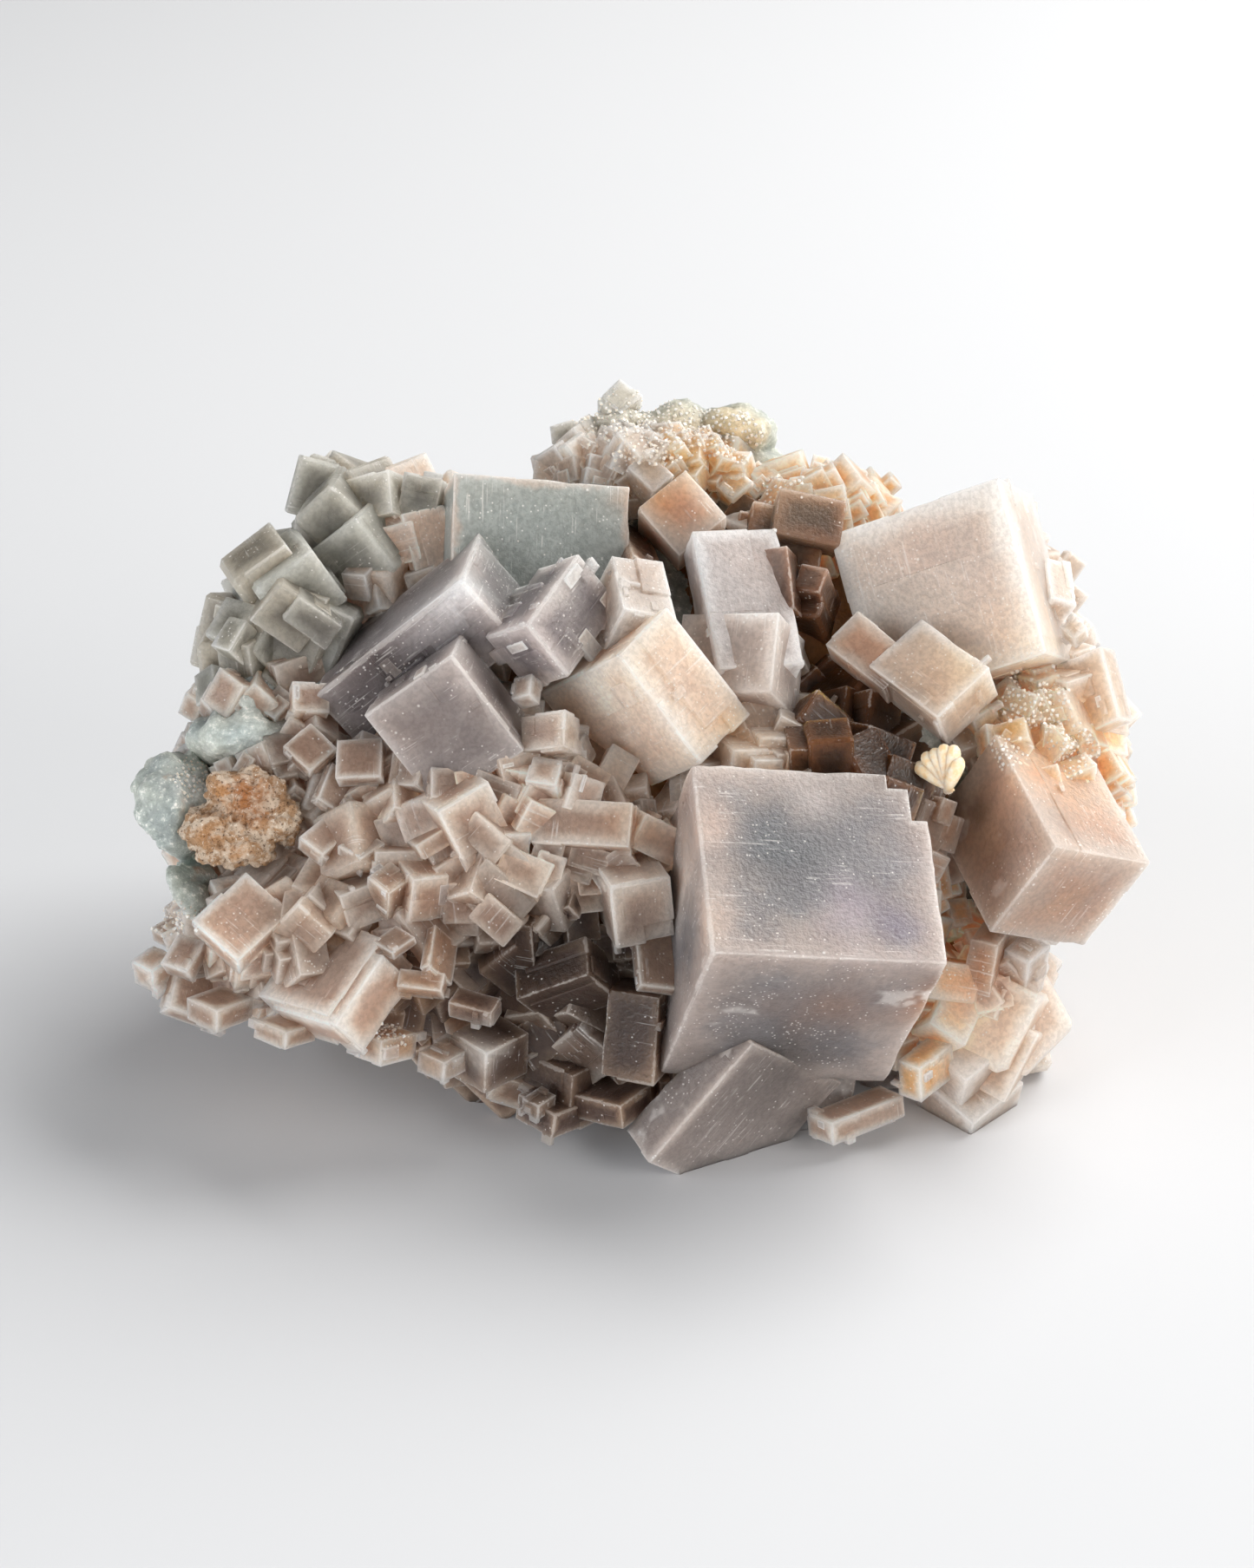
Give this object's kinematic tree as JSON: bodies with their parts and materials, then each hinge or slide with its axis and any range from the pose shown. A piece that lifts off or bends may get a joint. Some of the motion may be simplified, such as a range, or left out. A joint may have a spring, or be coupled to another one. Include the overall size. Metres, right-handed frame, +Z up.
{
  "type": "fluorite specimen",
  "caption": "Cluster of intergrown frosted fluorite cubes, large and small, on a lump of pale green massive rock cut flat underneath, with a rusty crust and a small calcite fan.",
  "frame": {"origin": "centre of the bounding box's bottom, on the surface that the specimen rests on", "axes": "+X along the specimen's width, -Y towards the side with the crystals, +Z up"},
  "size_m": [0.1758, 0.1267, 0.1032],
  "materials": {
    "fluorite_crystals": "frosted translucent crystal, pinkish beige rims and blue-grey cores",
    "pale_green_rock": "sugary pale grey-green mineral",
    "iron_crust": "crumbly rust-brown and cream crust",
    "calcite_fan": "cream, satin"
  },
  "bodies": {
    "root": {"fluorite_crystals": "fluorite_crystals", "pale_green_rock": "pale_green_rock", "iron_crust": "iron_crust", "calcite_fan": "calcite_fan"}
  },
  "joints": []
}
